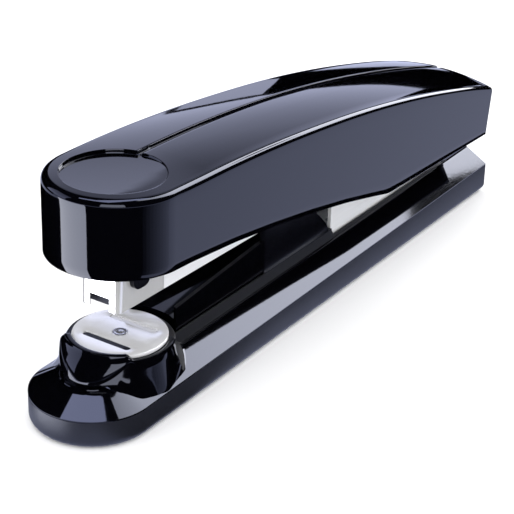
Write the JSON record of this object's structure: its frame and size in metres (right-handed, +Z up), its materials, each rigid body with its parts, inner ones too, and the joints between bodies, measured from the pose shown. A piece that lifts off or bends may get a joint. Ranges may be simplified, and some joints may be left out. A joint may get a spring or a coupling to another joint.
{
  "type": "stapler",
  "caption": "Full-strip desk stapler: long crowned gloss cover over a steel magazine, low base with a turnable chromed anvil on a pod, sprung arm, pusher and driver blade.",
  "frame": {"origin": "centre of the footprint on the table", "axes": "+X along the stapler from the nose towards the hinge, +Z up, +Y across to the raised half of the cover's top"},
  "size_m": [0.225, 0.041, 0.0733],
  "materials": {
    "boot": "fine matte, slightly soft",
    "gloss_black": "high gloss, near black",
    "black_plastic": "semi-matt moulded",
    "chrome": "polished chrome plate",
    "bright_steel": "bright nickel-plated sheet",
    "steel": "plated sheet steel",
    "frame_steel": "plain zinc-plated sheet",
    "pin_steel": "turned steel",
    "spring_steel": "drawn spring wire",
    "screw_steel": "zinc-plated screw",
    "staple_wire": "galvanised wire, glued strip",
    "blade_steel": "hardened and ground"
  },
  "bodies": {
    "base": {"base_tray": "boot", "base_deck": "gloss_black", "anvil_rivet": "steel", "anvil_spring_washer": "spring_steel", "deck_screws": "screw_steel", "magazine_trough": "gloss_black", "spring_housing": "black_plastic", "hinge_bracket": "steel", "hinge_pin": "pin_steel", "hinge_pin_clip": "spring_steel", "lift_spring": "spring_steel"},
    "anvil": {"anvil_disc": "chrome"},
    "magazine": {"nose_guard": "bright_steel", "magazine_channel": "steel", "staple_rail": "steel", "staple_strip": "staple_wire", "pusher_rod": "pin_steel", "rod_anchor": "black_plastic", "nose_saddle": "black_plastic", "handle_spring_seat": "black_plastic", "pusher_spring": "spring_steel", "handle_spring": "spring_steel"},
    "pusher": {"pusher": "black_plastic"},
    "cover": {"cover_shell": "gloss_black", "cover_frame": "frame_steel", "cover_screws": "screw_steel", "driver_holder": "black_plastic", "driver_blade": "blade_steel"}
  },
  "joints": [
    {"name": "arm_hinge", "type": "hinge", "parent": "base", "child": "magazine", "pos_m": [0.09225, 0, 0.04], "axis": [0, 1, 0], "range_deg": [-3.5, 0], "stiffness_Nm_per_rad": 3, "springref_deg": 20.05, "deforming": ["lift_spring"]},
    {"name": "cover_hinge", "type": "hinge", "parent": "magazine", "child": "cover", "pos_m": [0.09225, 0, 0.04], "axis": [0, 1, 0], "range_deg": [-3.1, 25], "stiffness_Nm_per_rad": 6, "springref_deg": 0.92, "deforming": ["handle_spring"]},
    {"name": "pusher_slide", "type": "slide", "parent": "magazine", "child": "pusher", "axis": [0.9996, 0, -0.0279], "range_m": [0, 0.053], "stiffness_N_per_m": 40, "springref_m": -0.03, "deforming": ["pusher_spring"]},
    {"name": "anvil_turn", "type": "hinge", "parent": "base", "child": "anvil", "pos_m": [-0.0813, 0, 0.0217], "axis": [0, 0, 1], "range_deg": [0, 180]}
  ]
}
